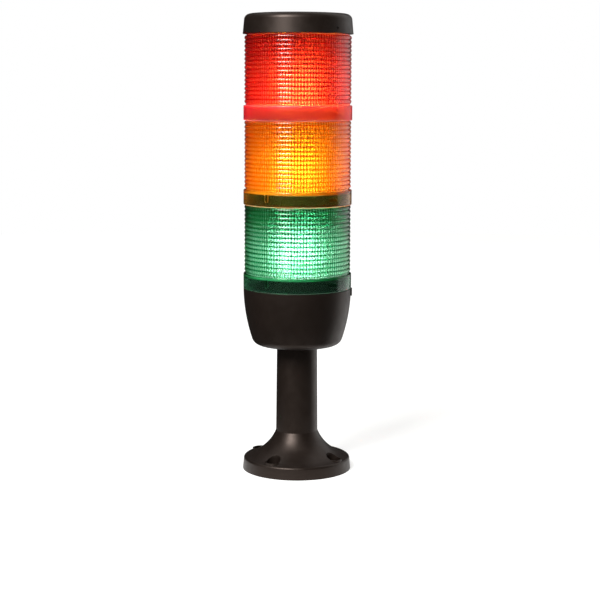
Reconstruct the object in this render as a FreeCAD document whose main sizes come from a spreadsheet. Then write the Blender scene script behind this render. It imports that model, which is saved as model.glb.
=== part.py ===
import FreeCAD, Part
import math
import os

import Sketcher
from FreeCAD import Placement, Rotation, Vector

# A 70 mm stack light: a moulded foot with its pole, a bowl-shaped terminal housing, three
# ribbed lens modules (green, amber, red) that lock on each other with a bayonet, and a cap.
# Frame: +Z up, origin at the centre of the foot's underside, and the front faces -Y.
# A bearing is an angle about +Z, measured from the front towards +X. Lengths are millimetres.

SIZES = [
    # the foot and its pole, one moulding
    ("foot_radius", 35.4, "radius of the foot on the floor"),
    ("foot_side_radius", 34.8, "radius at the top of the foot's drafted side"),
    ("foot_side_height", 6.6, "height of the foot's drafted side"),
    ("foot_rim_radius", 33.8, "where the rim's round meets the flare"),
    ("foot_rim_round", 1.6, "radius of the rim's round"),
    ("foot_wall", 3.2, "wall of the flare and of the rim"),
    ("flare_round", 28.66, "radius of the flare's hollow sweep"),
    ("flare_centre_radius", 40.2, "distance of the sweep's centre from the axis"),
    ("flare_centre_height", 35.9, "height of the sweep's centre"),
    ("pole_base_radius", 13.6, "radius of the pole at the flare"),
    ("pole_top_radius", 13.1, "radius of the pole under the housing"),
    ("pole_height", 82.2, "height of the shoulder that carries the housing"),
    ("cable_bore", 9.4, "radius of the cable way through the pole"),
    ("spigot_radius", 11.8, "radius of the pole's end inside the housing"),
    ("spigot_rise", 12.5, "height of the pole's end above its shoulder"),
    ("web_count", 8, "stiffening webs under the foot"),
    ("web_thickness", 2.0, "thickness of a stiffening web"),
    ("web_lift", 1.5, "gap between the floor and a stiffening web"),
    # the fixing holes of the foot
    ("fixing_count", 4, "number of fixing holes"),
    ("fixing_circle", 56.0, "diameter of the circle through the fixing holes"),
    ("fixing_bearing", -32.0, "bearing of the first fixing hole"),
    ("fixing_bore", 2.7, "radius of a fixing hole"),
    ("fixing_recess", 4.6, "radius of the recess for a screw's head"),
    ("fixing_lip", 1.1, "wall of the raised lip round a recess"),
    ("fixing_seat", 4.0, "height of a recess's floor"),
    ("fixing_lip_height", 9.25, "height of a raised lip"),
    # the housing
    ("housing_height", 37.05, "height of the bowl"),
    ("housing_wall", 2.6, "wall of the bowl"),
    ("housing_floor", 3.0, "floor of the bowl"),
    ("housing_side_round", 108.3, "radius of the bowl's barrelled side"),
    ("housing_side_centre", 38.4, "height of that radius's centre above the floor's plane"),
    ("housing_foot_round", 6.0, "radius between the bowl's side and its floor"),
    ("housing_throat", 3.2, "height of the slope from the bowl's wall to its neck"),
    ("throat_lip", 0.8, "depth of the neck's bore below the bowl's top"),
    ("post_count", 3, "posts that carry the contact plate"),
    ("post_radius", 3.0, "radius of a post"),
    ("post_circle", 24.0, "distance of a post from the axis"),
    ("post_bearing", 60.0, "bearing of the first post"),
    ("tab_sweep", 9.0, "angle of the alignment tab"),
    ("tab_height", 4.6, "height of the alignment tab"),
    ("tab_proud", 0.7, "how far the alignment tab stands out"),
    ("tab_root", 1.2, "how far the alignment tab reaches into the wall"),
    ("tab_bearing", 88.0, "bearing of the alignment tab"),
    # the bayonet between one module and the next
    ("shadow_gap", 0.4, "open joint under a collar's rim"),
    ("collar_radius", 35.0, "outer radius of a collar and of the bowl's top"),
    ("collar_wall", 1.7, "wall of a collar"),
    ("collar_height", 9.5, "height of a collar"),
    ("collar_web", 1.9, "thickness of a collar's closed top"),
    ("edge_round", 0.35, "radius of a collar's edges"),
    ("slide_gap", 0.3, "radial gap between a neck and the collar over it"),
    ("neck_wall", 2.4, "wall of a neck"),
    ("neck_end_gap", 0.5, "gap over a neck's end"),
    ("lug_count", 3, "bayonet lugs inside a collar"),
    ("lug_bearing", 41.7, "bearing of the first lug"),
    ("lug_sweep", 10.0, "angle of a lug"),
    ("lug_depth", 1.1, "how far a lug stands in from the collar's wall"),
    ("lug_base", 3.6, "height of a lug's underside above the collar's rim"),
    ("lug_height", 1.8, "height of a lug"),
    ("lug_play", 0.3, "gap above, below and behind a lug"),
    ("lug_end_play", 0.8, "angle left free at each end of a lug's slot"),
    ("twist", 18.0, "turn that frees a module"),
    ("key_bearing", -35.7, "bearing of the index key inside a collar"),
    ("key_width", 2.3, "width of the index key"),
    ("key_base", 2.9, "height of the key's round end above the collar's rim"),
    ("key_depth", 1.0, "how far the key stands in from the collar's wall"),
    ("key_end_play", 1.0, "angle left free at each end of the key's notch"),
    ("seal_base", 0.4, "height of the seal's groove above the collar's rim"),
    ("seal_depth", 1.15, "depth of the seal's groove"),
    ("seal_section", 0.6, "radius of the seal's section"),
    ("seal_room", 0.05, "gap round the seal in its groove"),
    # the ribbed part of a lens
    ("rib_inset", 0.6, "how far the crest of a rib stands in from the collar"),
    ("rib_depth", 0.85, "depth of the groove between two ribs"),
    ("lens_wall", 1.95, "wall of a lens under the grooves"),
    ("flute_count", 108, "upright beads round the bore of a lens"),
    ("flute_depth", 0.45, "how far a bead stands in from the bore"),
    ("flute_gap", 0.35, "plain strip below and above the beads"),
    ("rib_count", 16, "ribs round a lens"),
    ("rib_pitch", 2.7, "height of one rib"),
    ("plain_band", 1.15, "plain strip above a collar"),
    ("bore_slope", 1.6, "height of the slope from a lens's bore to its neck"),
    # the carrier and the light board inside a lens
    ("carrier_gap", 0.1, "radial gap between a carrier and its lens"),
    ("carrier_plate", 1.8, "thickness of a carrier's plate"),
    ("hub_radius", 17.0, "radius of a carrier's hub"),
    ("hub_lift", 1.0, "height of the hub's underside above the collar's rim"),
    ("socket_wall", 1.5, "wall of the socket that holds a board"),
    ("socket_height", 2.0, "height of the socket"),
    ("board_width", 31.0, "width of a light board"),
    ("board_thickness", 1.6, "thickness of a light board"),
    ("board_gap", 0.1, "gap between a board and its socket"),
    ("led_width", 5.0, "side of a light source"),
    ("led_height", 1.6, "height of a light source above its board"),
    ("led_columns", 3, "light sources across one side of a board"),
    ("led_rows", 4, "light sources up one side of a board"),
    ("led_column_pitch", 11.0, "distance between two columns"),
    ("led_row_pitch", 5.8, "distance between two rows"),
    ("led_lift", 0.3, "gap between the socket and the lowest row"),
    ("head_radius", 17.0, "radius of the contact head on a board"),
    ("head_thickness", 2.5, "thickness of a contact head"),
    ("head_slot", 1.0, "depth of the slot that holds the board's top"),
    # the contacts between one module and the next
    ("contact_count", 5, "contacts of a module"),
    ("contact_circle", 12.5, "distance of a contact from the axis"),
    ("contact_bearing", 0.0, "bearing of the first contact"),
    ("contact_drop", 1.0, "depth of the contact plane below a collar's rim"),
    ("contact_gap", 0.3, "gap between a pin and its pad"),
    ("pin_radius", 1.0, "radius of a contact pin"),
    ("pin_room", 0.05, "radial gap round a pin in its carrier"),
    ("pin_tail", 1.0, "how far a pin stands out above its carrier"),
    ("pad_thickness", 0.6, "thickness of a contact pad"),
    ("pad_width", 3.2, "radial width of a contact pad"),
    ("pad_end", 7.0, "angle of pad beyond a pin at each end of the turn"),
    # the parts inside the housing
    ("nut_flats", 30.0, "width across flats of the pole's nut"),
    ("nut_height", 7.0, "height of the pole's nut"),
    ("thread_gap", 0.15, "radial gap round the spigot"),
    ("plate_thickness", 2.4, "thickness of the contact plate"),
    ("plate_gap", 0.3, "radial gap between the contact plate and the neck"),
    ("terminal_count", 5, "wire terminals"),
    ("terminal_pitch", 8.0, "distance between two terminals"),
    ("terminal_depth", 11.0, "depth of the terminal block, front to back"),
    ("terminal_height", 10.5, "height of the terminal block"),
    ("terminal_screw_radius", 2.0, "radius of a terminal screw"),
    ("terminal_screw_length", 6.0, "length of a terminal screw"),
    ("terminal_screw_room", 0.1, "radial gap round a terminal screw"),
    ("screw_slot_width", 0.8, "width of the slot in a screw's head"),
    ("screw_slot_depth", 0.9, "depth of the slot in a screw's head"),
    ("wire_way", 3.4, "side of the square way in for a wire"),
    ("wire_way_depth", 8.0, "depth of the way in for a wire"),
    ("wire_way_roof", 1.2, "material between the way in and the contact plate"),
    ("post_screw_radius", 1.3, "radius of a post screw's shank"),
    ("post_screw_head", 2.6, "radius of a post screw's head"),
    ("post_screw_rise", 1.0, "height of a post screw's head"),
    ("post_screw_depth", 8.0, "length of a post screw inside its post"),
    ("post_screw_room", 0.1, "radial gap round a post screw"),
    # the cap
    ("cap_overhang", 0.5, "how far the cap's rim stands out over a collar"),
    ("cap_lift", 0.7, "how much higher the cap's rim sits than a collar's rim"),
    ("cap_draft", 0.8, "how much narrower the cap is below its round"),
    ("cap_height", 13.4, "height of the cap's round above a collar's rim"),
    ("cap_round", 4.0, "radius of the cap's upper edge"),
    ("cap_crown", 0.6, "rise of the cap's domed top"),
    ("cap_top", 2.4, "thickness of the cap's top"),
    ("dimple_bearing", 44.7, "bearing of the cap's alignment dimple"),
    ("dimple_height", 3.6, "height of the dimple above the cap's rim"),
    ("dimple_radius", 0.9, "radius of the dimple"),
    ("dimple_depth", 0.9, "depth of the dimple"),
]

TIERS = ["green", "amber", "red"]
VALUES = {name: value for name, value, note in SIZES}
RIGHT_ANGLE = 90.0
FULL_TURN = 360.0
ORIGIN_POINT = (-1, 1)
H_AXIS = -1
V_AXIS = -2
START, END, CENTRE = 1, 2, 3


class Size:
    """A length, angle or count, with the sheet expression that it comes from."""

    def __init__(self, value, text):
        self.value = value
        self.text = text

    def __add__(self, other):
        other = as_size(other)
        return Size(self.value + other.value, f"({self.text} + {other.text})")

    def __sub__(self, other):
        other = as_size(other)
        return Size(self.value - other.value, f"({self.text} - {other.text})")

    def __mul__(self, other):
        other = as_size(other)
        return Size(self.value * other.value, f"({self.text} * {other.text})")

    def __truediv__(self, other):
        other = as_size(other)
        return Size(self.value / other.value, f"({self.text} / {other.text})")

    def __neg__(self):
        return Size(-self.value, f"(0 - {self.text})")


def as_size(number):
    return number if isinstance(number, Size) else Size(float(number), f"{float(number):g}")


def size(name):
    return Size(float(VALUES[name]), f"Sizes.{name}")


def root(square):
    return Size(math.sqrt(square.value), f"sqrt({square.text})")


def sine(angle):
    return Size(math.sin(math.radians(angle.value)), f"sin({angle.text} * 1deg)")


def cosine(angle):
    return Size(math.cos(math.radians(angle.value)), f"cos({angle.text} * 1deg)")


# ------------------------------------------------------------------ derived sizes

ZERO = Size(0.0, "0")

# the foot
cavity_radius = size("foot_radius") - size("foot_wall")
fixing_boss = size("fixing_recess") + size("fixing_lip")
floor_top = size("pole_height") + size("housing_floor")

# one module: the collar's rim is at zero, and the next collar's rim is at module_pitch
collar_bore = size("collar_radius") - size("collar_wall")
neck_radius = collar_bore - size("slide_gap")
neck_bore = neck_radius - size("neck_wall")
web_base = size("collar_height") - size("collar_web")
neck_rise = web_base - size("neck_end_gap")
rib_tip = size("collar_radius") - size("rib_inset")
rib_valley = rib_tip - size("rib_depth")
lens_bore = rib_valley - size("lens_wall")
ribs_base = size("collar_height") + size("plain_band")
ribs_top = ribs_base + size("rib_count") * size("rib_pitch")
half_pitch = size("rib_pitch") / 2
rib_round = (half_pitch * half_pitch / size("rib_depth") + size("rib_depth")) / 2
module_pitch = ribs_top + size("shadow_gap")
carrier_top = web_base + size("carrier_plate")
socket_top = carrier_top + size("socket_height")
contact_plane = -size("contact_drop")
head_base = module_pitch + contact_plane - size("pad_thickness") - size("head_thickness")
cap_radius = size("collar_radius") + size("cap_overhang")

# the upright beads inside a lens
half_flute = lens_bore / size("flute_count") * math.pi
flute_round = (half_flute * half_flute / size("flute_depth") + size("flute_depth")) / 2
flutes_base = carrier_top + size("flute_gap")
flutes_top = ribs_top - size("bore_slope") - size("flute_gap")

# the whole stack
housing_top = size("pole_height") + size("housing_height")
first_rim = housing_top + size("shadow_gap")
plate_base = first_rim + contact_plane - size("pad_thickness") - size("plate_thickness")


def rim_level(tier):
    """Height of a module's collar rim, counted up from the housing."""
    return first_rim + module_pitch * tier


def flare_height(distance, depth):
    """Height of the flare at a distance from the axis, at a depth below its skin."""
    sweep = size("flare_round") + depth
    across = size("flare_centre_radius") - distance
    return size("flare_centre_height") - root(sweep * sweep - across * across)


# ------------------------------------------------------------------ document helpers


def make_sheet(doc):
    """The driving sizes, one row each: name, value and meaning."""
    sheet = doc.addObject("Spreadsheet::Sheet", "Sizes")
    for row, (name, value, note) in enumerate(SIZES, start=1):
        sheet.set(f"A{row}", name)
        sheet.set(f"B{row}", str(value))
        sheet.set(f"C{row}", note)
        sheet.setAlias(f"B{row}", name)
    doc.recompute()


def bind(item, path, amount):
    """Tie a property to the sheet, unless it is a plain number."""
    if "Sizes." in amount.text:
        item.setExpression(path, amount.text)


def new_body(doc, label):
    body = doc.addObject("PartDesign::Body", label)
    body.Label = label
    return body


def raise_to(item, level):
    """Lift a finished sub-part to its level in the stack."""
    item.Placement = Placement(Vector(0, 0, level.value), Rotation())
    bind(item, "Placement.Base.z", level)


def origin_feature(body, role):
    return [f for f in body.Origin.OriginFeatures if f.Role == role][0]


def new_sketch(body, name, plane):
    sketch = body.newObject("Sketcher::SketchObject", name)
    sketch.AttachmentSupport = [(origin_feature(body, plane), "")]
    sketch.MapMode = "FlatFace"
    return sketch


def place_sketch(sketch, axis, turn, shift):
    """Turn a sketch about one of its plane's own axes and shift it by (x, y, z)."""
    base = Vector(*[part.value for part in shift])
    sketch.AttachmentOffset = Placement(base, Rotation(axis, turn.value))
    bind(sketch, "AttachmentOffset.Rotation.Angle", turn)
    for letter, part in zip("xyz", shift):
        bind(sketch, f"AttachmentOffset.Base.{letter}", part)


def add_constraint(sketch, *parts):
    return sketch.addConstraint(Sketcher.Constraint(*parts))


def drive(sketch, kind, *parts):
    """Add a constraint whose last part is a Size, tied to the sheet."""
    index = add_constraint(sketch, kind, *parts[:-1], parts[-1].value)
    bind(sketch, f"Constraints[{index}]", parts[-1])


def pin_point(sketch, geometry, point, x, y):
    """Hold a point of a sketch at x, y."""
    for amount, kind, axis in ((x, "DistanceX", V_AXIS), (y, "DistanceY", H_AXIS)):
        if amount is ZERO:
            add_constraint(sketch, "PointOnObject", geometry, point, axis)
        else:
            drive(sketch, kind, geometry, point, amount)


def arc_between(start, end, radius, turn):
    """The short arc from start to end that turns left or right."""
    chord = end - start
    side = Vector(-chord.y, chord.x, 0).normalize()
    if turn == "right":
        side = -side
    rise = math.sqrt(radius**2 - (chord.Length / 2) ** 2)
    centre = (start + end) / 2 + side * rise
    first, last = (start, end) if turn == "left" else (end, start)
    angles = [math.atan2(p.y - centre.y, p.x - centre.x) for p in (first, last)]
    if angles[1] < angles[0]:
        angles[1] += 2 * math.pi
    return Part.ArcOfCircle(Part.Circle(centre, Vector(0, 0, 1), radius), *angles)


def outline(sketch, points):
    """A closed outline. A point is (x, y), or (x, y, turn, radius) where an arc leaves it."""
    ends = []
    for index, point in enumerate(points):
        following = points[(index + 1) % len(points)]
        start = Vector(point[0].value, point[1].value, 0)
        end = Vector(following[0].value, following[1].value, 0)
        if len(point) == 2:
            sketch.addGeometry(Part.LineSegment(start, end), False)
            ends.append((START, END))
        else:
            turn, radius = point[2:]
            sketch.addGeometry(arc_between(start, end, radius.value, turn), False)
            ends.append((START, END) if turn == "left" else (END, START))
    for index, point in enumerate(points):
        following = (index + 1) % len(points)
        add_constraint(
            sketch, "Coincident", index, ends[index][1], following, ends[following][0]
        )
        pin_point(sketch, index, ends[index][0], point[0], point[1])
        if len(point) > 2:
            drive(sketch, "Radius", index, point[3])


def radial_outline(body, name, bearing, points):
    """An outline of (radius, height) points in the half plane at a bearing."""
    sketch = new_sketch(body, name, "XZ_Plane")
    place_sketch(sketch, Vector(0, 1, 0), bearing - RIGHT_ANGLE, (ZERO, ZERO, ZERO))
    outline(sketch, points)
    return sketch


def tangent_sketch(body, name, bearing, distance):
    """A sketch that faces outwards at a bearing; its x runs to the left, its y is height."""
    sketch = new_sketch(body, name, "XZ_Plane")
    shift = (distance * sine(bearing), ZERO, distance * cosine(bearing))
    place_sketch(sketch, Vector(0, 1, 0), bearing, shift)
    return sketch


def level_sketch(body, name, height, bearing=None, shift=None):
    """A horizontal sketch at a height, turned to a bearing or shifted by (x, y)."""
    sketch = new_sketch(body, name, "XY_Plane")
    turn = ZERO if bearing is None else bearing - RIGHT_ANGLE
    across = (ZERO, ZERO) if shift is None else shift
    place_sketch(sketch, Vector(0, 0, 1), turn, (*across, height))
    return sketch


def circle(sketch, radius, distance=ZERO):
    """A circle on the sketch's x axis."""
    middle = Vector(distance.value, 0, 0)
    sketch.addGeometry(Part.Circle(middle, Vector(0, 0, 1), radius.value), False)
    pin_point(sketch, 0, CENTRE, distance, ZERO)
    drive(sketch, "Radius", 0, radius)


def rectangle(sketch, width, depth):
    """A rectangle round the sketch's origin."""
    x, y = width.value / 2, depth.value / 2
    corners = [Vector(-x, -y, 0), Vector(x, -y, 0), Vector(x, y, 0), Vector(-x, y, 0)]
    for index, corner in enumerate(corners):
        sketch.addGeometry(Part.LineSegment(corner, corners[(index + 1) % 4]), False)
    for index in range(4):
        add_constraint(sketch, "Coincident", index, END, (index + 1) % 4, START)
        add_constraint(sketch, "Vertical" if index % 2 else "Horizontal", index)
    add_constraint(sketch, "Symmetric", 0, START, 2, START, *ORIGIN_POINT)
    drive(sketch, "DistanceX", 0, START, 0, END, width)
    drive(sketch, "DistanceY", 1, START, 1, END, depth)


def extrude(body, name, sketch, length, cut=False):
    """A pad or a pocket that runs along the sketch's normal."""
    feature = body.newObject("PartDesign::Pocket" if cut else "PartDesign::Pad", name)
    feature.Profile = sketch
    feature.Length = length.value
    bind(feature, "Length", length)
    feature.Reversed = cut
    return feature


def revolve(body, name, sketch, sweep=None, cut=False):
    """A full turn about the sketch's y axis, or a sweep that the sketch halves."""
    feature = body.newObject("PartDesign::Groove" if cut else "PartDesign::Revolution", name)
    feature.Profile = sketch
    feature.ReferenceAxis = (sketch, ["V_Axis"])
    feature.Angle = FULL_TURN
    if sweep is not None:
        feature.Midplane = True
        feature.Angle = sweep.value
        bind(feature, "Angle", sweep)
    return feature


def ring_block(inner, outer, base, top):
    """Corners of a rectangle of (radius, height)."""
    return [(inner, base), (outer, base), (outer, top), (inner, top)]


def sector(body, name, bearing, sweep, corners, cut=False):
    """A block swept about the axis over an angle, half on each side of a bearing."""
    sketch = radial_outline(body, f"{name}_outline", bearing, corners)
    return revolve(body, name, sketch, sweep, cut)


def round_about(body, name, features, count):
    """Repeat features evenly round the axis."""
    pattern = body.newObject("PartDesign::PolarPattern", name)
    pattern.Originals = features
    pattern.Axis = (origin_feature(body, "Z_Axis"), [""])
    pattern.Angle = FULL_TURN
    pattern.Occurrences = int(count.value)
    bind(pattern, "Occurrences", count)
    body.Tip = pattern


def row_along(body, name, features, count, pitch):
    """Repeat features along +X."""
    pattern = body.newObject("PartDesign::LinearPattern", name)
    pattern.Originals = features
    pattern.Direction = (origin_feature(body, "X_Axis"), [""])
    length = (count - 1) * pitch
    pattern.Length = length.value
    bind(pattern, "Length", length)
    pattern.Occurrences = int(count.value)
    bind(pattern, "Occurrences", count)
    body.Tip = pattern


# ------------------------------------------------------------------ foot and pole


def make_foot(doc):
    body = new_body(doc, "mounting_foot")
    spigot_top = size("pole_height") + size("spigot_rise")
    skin = ZERO
    wall = size("foot_wall")
    shell = radial_outline(
        body,
        "foot_profile",
        as_size(RIGHT_ANGLE),
        [
            (cavity_radius, ZERO),
            (size("foot_radius"), ZERO),
            (size("foot_side_radius"), size("foot_side_height"), "left", size("foot_rim_round")),
            (
                size("foot_rim_radius"),
                flare_height(size("foot_rim_radius"), skin),
                "right",
                size("flare_round"),
            ),
            (size("pole_base_radius"), flare_height(size("pole_base_radius"), skin)),
            (size("pole_top_radius"), size("pole_height")),
            (size("spigot_radius"), size("pole_height")),
            (size("spigot_radius"), spigot_top),
            (size("cable_bore"), spigot_top),
            (
                size("cable_bore"),
                flare_height(size("cable_bore"), wall),
                "left",
                size("flare_round") + wall,
            ),
            (cavity_radius, flare_height(cavity_radius, wall)),
        ],
    )
    revolve(body, "foot_shell", shell)
    add_foot_webs(body, wall / 2)
    add_fixing_holes(body)


def add_foot_webs(body, depth):
    """Upright webs under the flare; their upper edge runs inside its wall."""
    inner = size("pole_base_radius")
    outer = cavity_radius + depth
    lift = size("web_lift")
    web = radial_outline(
        body,
        "web_profile",
        size("fixing_bearing"),
        [
            (inner, lift),
            (outer, lift),
            (outer, flare_height(outer, depth), "right", size("flare_round") + depth),
            (inner, flare_height(inner, depth)),
        ],
    )
    plate = extrude(body, "web", web, size("web_thickness"))
    plate.Midplane = True
    round_about(body, "webs", [plate], size("web_count"))


def add_fixing_holes(body):
    bearing = size("fixing_bearing")
    distance = size("fixing_circle") / 2
    seat = size("fixing_seat")
    lip = level_sketch(body, "lip_circle", ZERO, bearing)
    circle(lip, fixing_boss, distance)
    boss = extrude(body, "lip", lip, size("fixing_lip_height"))
    round_about(body, "lips", [boss], size("fixing_count"))
    recess = level_sketch(body, "recess_circle", seat, bearing)
    circle(recess, size("fixing_recess"), distance)
    recess_cut = extrude(body, "recess", recess, size("flare_centre_height") - seat, cut=True)
    bore = level_sketch(body, "bore_circle", ZERO, bearing)
    circle(bore, size("fixing_bore"), distance)
    bore_cut = extrude(body, "fixing_hole", bore, seat, cut=True)
    round_about(body, "fixing_holes", [recess_cut, bore_cut], size("fixing_count"))


# ------------------------------------------------------------------ the bayonet


def cut_neck(body, rim):
    """Seal groove, bayonet slots and key notch in the neck under a collar whose rim is at rim."""
    neck_top = rim + neck_rise
    groove_top = rim + size("seal_base") + (size("seal_section") + size("seal_room")) * 2
    groove = radial_outline(
        body,
        "seal_groove_profile",
        ZERO,
        ring_block(
            neck_radius - size("seal_depth"), collar_bore, rim + size("seal_base"), groove_top
        ),
    )
    revolve(body, "seal_groove", groove, cut=True)

    play = size("lug_play")
    floor = collar_bore - size("lug_depth") - play
    low = rim + size("lug_base") - play
    high = low + size("lug_height") + play * 2
    lug_room = size("lug_sweep") + size("lug_end_play") * 2
    run = sector(
        body,
        "lug_run",
        size("lug_bearing") + size("twist") / 2,
        lug_room + size("twist"),
        ring_block(floor, collar_bore, low, high),
        cut=True,
    )
    entry = sector(
        body,
        "lug_entry",
        size("lug_bearing") + size("twist"),
        lug_room,
        ring_block(floor, collar_bore, low, neck_top + play),
        cut=True,
    )
    round_about(body, "lug_slots", [run, entry], size("lug_count"))

    sector(
        body,
        "key_notch",
        size("key_bearing") + size("twist") / 2,
        key_sweep() + size("twist") + size("key_end_play") * 2,
        ring_block(
            collar_bore - size("key_depth") - play,
            collar_bore,
            rim + size("key_base") - play,
            neck_top + play,
        ),
        cut=True,
    )


def key_sweep():
    """Angle that the index key takes up on the neck."""
    return size("key_width") / neck_radius * (FULL_TURN / 2 / math.pi)


def add_collar_keys(body):
    """Bayonet lugs and index key inside a collar whose rim is at zero."""
    root_radius = collar_bore + size("collar_wall") / 2
    lug = sector(
        body,
        "lug",
        size("lug_bearing"),
        size("lug_sweep"),
        ring_block(
            collar_bore - size("lug_depth"),
            root_radius,
            size("lug_base"),
            size("lug_base") + size("lug_height"),
        ),
    )
    round_about(body, "lugs", [lug], size("lug_count"))

    inner = collar_bore - size("key_depth")
    sketch = tangent_sketch(body, "key_outline", size("key_bearing"), inner)
    tongue(sketch, size("key_width") / 2, size("key_base"), web_base + size("collar_web") / 2)
    extrude(body, "index_key", sketch, root_radius - inner)


def tongue(sketch, half, base, top):
    """A tongue round the sketch's y axis, with a round lower end at base."""
    bend = base + half
    right, left = Vector(half.value, bend.value, 0), Vector(-half.value, bend.value, 0)
    up = Vector(0, top.value - bend.value, 0)
    round_end = Part.Circle(Vector(0, bend.value, 0), Vector(0, 0, 1), half.value)
    sketch.addGeometry(Part.ArcOfCircle(round_end, math.pi, 2 * math.pi), False)
    sketch.addGeometry(Part.LineSegment(right, right + up), False)
    sketch.addGeometry(Part.LineSegment(right + up, left + up), False)
    sketch.addGeometry(Part.LineSegment(left + up, left), False)
    for index in range(4):
        add_constraint(sketch, "Coincident", index, END, (index + 1) % 4, START)
    add_constraint(sketch, "Vertical", 1)
    add_constraint(sketch, "Horizontal", 2)
    add_constraint(sketch, "Vertical", 3)
    add_constraint(sketch, "Horizontal", 0, START, 0, END)
    add_constraint(sketch, "Horizontal", 0, START, 0, CENTRE)
    add_constraint(sketch, "PointOnObject", 0, CENTRE, V_AXIS)
    drive(sketch, "Radius", 0, half)
    drive(sketch, "DistanceY", 0, CENTRE, bend)
    drive(sketch, "DistanceY", 1, END, top)


def make_seal(doc, label, rim):
    """A rubber ring in the groove of the neck under a collar whose rim is at rim."""
    ring = doc.addObject("Part::Torus", label)
    ring.Label = label
    bind(ring, "Radius1", neck_radius - size("seal_depth") + size("seal_room") + size("seal_section"))
    bind(ring, "Radius2", size("seal_section"))
    raise_to(ring, rim + size("seal_base") + size("seal_room") + size("seal_section"))


# ------------------------------------------------------------------ housing


def make_housing(doc):
    body = new_body(doc, "base_housing")
    floor = size("pole_height")
    side = size("housing_side_round")
    centre_height = floor + size("housing_side_centre")
    crest = housing_top - centre_height
    centre_radius = size("collar_radius") - root(side * side - crest * crest)

    def side_radius(height, depth):
        """Distance of the barrelled side from the axis, at a depth below its skin."""
        drop = height - centre_height
        return centre_radius + root((side - depth) * (side - depth) - drop * drop)

    def foot_round(level, depth):
        """Ends of the round between the floor at a level and the side at a depth."""
        bend = size("housing_foot_round") - depth
        reach = side - size("housing_foot_round")
        drop = level + bend - centre_height
        middle = centre_radius + root(reach * reach - drop * drop)
        share = (side - depth) / reach
        on_side = (
            centre_radius + (middle - centre_radius) * share,
            centre_height + drop * share,
        )
        return bend, (middle, level), on_side

    wall = size("housing_wall")
    hole = size("spigot_radius") + size("thread_gap")
    throat = housing_top - size("housing_throat")
    neck_top = first_rim + neck_rise
    outer_bend, outer_start, outer_end = foot_round(floor, ZERO)
    inner_bend, inner_start, inner_end = foot_round(floor_top, wall)
    shell = radial_outline(
        body,
        "bowl_profile",
        as_size(RIGHT_ANGLE),
        [
            (hole, floor),
            (*outer_start, "left", outer_bend),
            (*outer_end, "left", side),
            (size("collar_radius"), housing_top),
            (neck_radius, housing_top),
            (neck_radius, neck_top),
            (neck_bore, neck_top),
            (neck_bore, housing_top - size("throat_lip")),
            (side_radius(throat, wall), throat, "right", side - wall),
            (*inner_end, "right", inner_bend),
            inner_start,
            (hole, floor_top),
        ],
    )
    revolve(body, "bowl", shell)
    sector(
        body,
        "alignment_tab",
        size("tab_bearing"),
        size("tab_sweep"),
        ring_block(
            size("collar_radius") - size("tab_root"),
            size("collar_radius") + size("tab_proud"),
            housing_top - size("tab_height"),
            housing_top,
        ),
    )
    add_posts(body)
    cut_neck(body, first_rim)


def add_posts(body):
    bearing = size("post_bearing")
    post = level_sketch(body, "post_circle", floor_top, bearing)
    circle(post, size("post_radius"), size("post_circle"))
    pillar = extrude(body, "post", post, plate_base - floor_top)
    round_about(body, "posts", [pillar], size("post_count"))
    depth = size("post_screw_depth") + size("post_screw_room")
    bore = level_sketch(body, "post_bore_circle", plate_base - depth, bearing)
    circle(bore, size("post_screw_radius") + size("post_screw_room"), size("post_circle"))
    drilling = extrude(body, "post_bore", bore, depth, cut=True)
    round_about(body, "post_bores", [drilling], size("post_count"))


def make_pole_nut(doc):
    """A hexagonal nut that clamps the housing's floor on the pole's shoulder."""
    hexagon = doc.addObject("Part::Prism", "nut_hexagon")
    hexagon.Polygon = 6
    bind(hexagon, "Circumradius", size("nut_flats") / root(as_size(3)))
    bind(hexagon, "Height", size("nut_height"))
    bore = doc.addObject("Part::Cylinder", "nut_bore")
    bind(bore, "Radius", size("spigot_radius") + size("thread_gap"))
    bind(bore, "Height", size("nut_height"))
    nut = doc.addObject("Part::Cut", "pole_nut")
    nut.Label = "pole_nut"
    nut.Base = hexagon
    nut.Tool = bore
    raise_to(nut, floor_top)


def make_contact_plate(doc):
    body = new_body(doc, "contact_plate")
    disc = level_sketch(body, "plate_circle", plate_base)
    circle(disc, neck_bore - size("plate_gap"))
    extrude(body, "plate", disc, size("plate_thickness"))
    bore = level_sketch(body, "plate_bore_circle", plate_base, size("post_bearing"))
    circle(bore, size("post_screw_radius") + size("post_screw_room"), size("post_circle"))
    drilling = extrude(body, "plate_bore", bore, size("plate_thickness"), cut=True)
    round_about(body, "plate_bores", [drilling], size("post_count"))


def make_post_screws(doc):
    body = new_body(doc, "plate_screws")
    bearing = size("post_bearing")
    head_base = plate_base + size("plate_thickness")
    head = level_sketch(body, "head_circle", head_base, bearing)
    circle(head, size("post_screw_head"), size("post_circle"))
    cheese = extrude(body, "screw_head", head, size("post_screw_rise"))
    tip = plate_base - size("post_screw_depth")
    shank = level_sketch(body, "shank_circle", tip, bearing)
    circle(shank, size("post_screw_radius"), size("post_circle"))
    rod = extrude(body, "screw_shank", shank, head_base - tip)
    round_about(body, "screws", [cheese, rod], size("post_count"))


def terminal_start():
    """Place of the first terminal along x."""
    return -((size("terminal_count") - 1) * size("terminal_pitch") / 2)


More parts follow.
